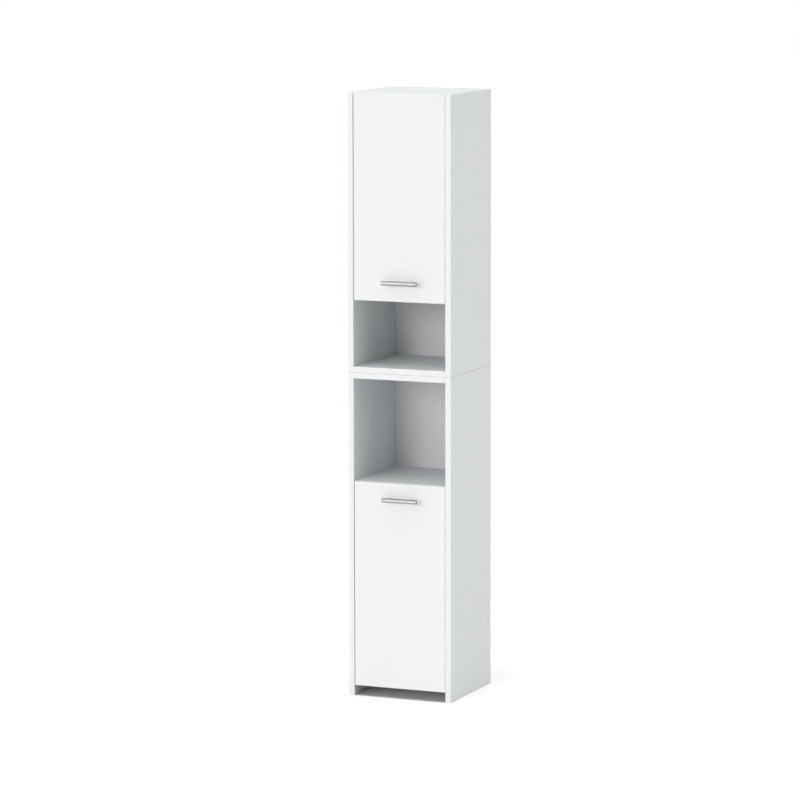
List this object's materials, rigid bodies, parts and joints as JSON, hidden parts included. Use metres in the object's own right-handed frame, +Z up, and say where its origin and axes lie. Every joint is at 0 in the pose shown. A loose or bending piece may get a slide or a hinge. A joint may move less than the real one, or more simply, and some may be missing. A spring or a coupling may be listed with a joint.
{
  "type": "tall bathroom cabinet",
  "caption": "Tall narrow white bathroom cabinet of stacked carcasses, with inset hinged doors, round bar handles and open niches.",
  "frame": {"origin": "on the floor, in the middle of the whole outline in width and depth", "axes": "+X to the cabinet's right as seen from the front, +Y to its back, +Z up"},
  "size_m": [0.3, 0.3218, 1.644],
  "materials": {
    "white_board": "white melamine on chipboard, fine satin, white banded front edges",
    "white_door": "white melamine on chipboard, fine satin, banded on all edges",
    "white_back": "thin fibreboard, white inside, bare brown outside",
    "brushed_handle": "brushed, drawn along the bar",
    "nickel_plate": "nickel plated steel, satin",
    "zinc_plate": "zinc plated steel, dull",
    "zinc_casting": "zinc die casting, matt",
    "screw_steel": "zinc plated screw steel",
    "beech": "fluted beech dowel",
    "clear_rubber": "clear soft bumper"
  },
  "bodies": {
    "cabinet": {"joining_screws": "screw_steel", "lower_arm_pivots": "nickel_plate", "lower_arm_screws": "screw_steel", "lower_back_nails": "screw_steel", "lower_back_panel": "white_back", "lower_bottom_board": "white_board", "lower_cam_bolts": "screw_steel", "lower_cam_locks": "zinc_casting", "lower_door_bumpers": "clear_rubber", "lower_dowels": "beech", "lower_hinge_arms": "nickel_plate", "lower_left_side": "white_board", "lower_mounting_plates": "nickel_plate", "lower_niche_floor": "white_board", "lower_plate_screws": "screw_steel", "lower_right_side": "white_board", "lower_shelf": "white_board", "lower_shelf_pegs": "screw_steel", "lower_top_board": "white_board", "upper_arm_pivots": "nickel_plate", "upper_arm_screws": "screw_steel", "upper_back_nails": "screw_steel", "upper_back_panel": "white_back", "upper_bottom_board": "white_board", "upper_cam_bolts": "screw_steel", "upper_cam_locks": "zinc_casting", "upper_cupboard_floor": "white_board", "upper_door_bumpers": "clear_rubber", "upper_dowels": "beech", "upper_hinge_arms": "nickel_plate", "upper_left_side": "white_board", "upper_mounting_plates": "nickel_plate", "upper_plate_screws": "screw_steel", "upper_right_side": "white_board", "upper_shelf": "white_board", "upper_shelf_pegs": "screw_steel", "upper_top_board": "white_board", "wall_bracket": "zinc_plate", "wall_bracket_screws": "screw_steel"},
    "lower_links": {"lower_hinge_links": "nickel_plate"},
    "lower_door": {"lower_cup_pivots": "nickel_plate", "lower_cup_screws": "screw_steel", "lower_door": "white_door", "lower_handle_bar": "brushed_handle", "lower_handle_posts": "brushed_handle", "lower_handle_screws": "screw_steel", "lower_hinge_cups": "nickel_plate"},
    "upper_links": {"upper_hinge_links": "nickel_plate"},
    "upper_door": {"upper_cup_pivots": "nickel_plate", "upper_cup_screws": "screw_steel", "upper_door": "white_door", "upper_handle_bar": "brushed_handle", "upper_handle_posts": "brushed_handle", "upper_handle_screws": "screw_steel", "upper_hinge_cups": "nickel_plate"}
  },
  "joints": [
    {"name": "lower_link_swing", "type": "hinge", "parent": "cabinet", "child": "lower_links", "pos_m": [-0.098, -0.1254, 0.30925], "axis": [0, 0, 1], "range_deg": [0, 38.1]},
    {"name": "lower_door_swing", "type": "hinge", "parent": "lower_links", "child": "lower_door", "pos_m": [-0.1185, -0.1254, 0.30925], "axis": [0, 0, -1], "range_deg": [0, 133]},
    {"name": "upper_link_swing", "type": "hinge", "parent": "cabinet", "child": "upper_links", "pos_m": [-0.098, -0.1254, 1.3645], "axis": [0, 0, 1], "range_deg": [0, 38.1]},
    {"name": "upper_door_swing", "type": "hinge", "parent": "upper_links", "child": "upper_door", "pos_m": [-0.1185, -0.1254, 1.3645], "axis": [0, 0, -1], "range_deg": [0, 133]}
  ],
  "couplings": [
    {"joint": "lower_link_swing", "follows": "lower_door_swing", "ratio": 0.28571},
    {"joint": "upper_link_swing", "follows": "upper_door_swing", "ratio": 0.28571}
  ]
}
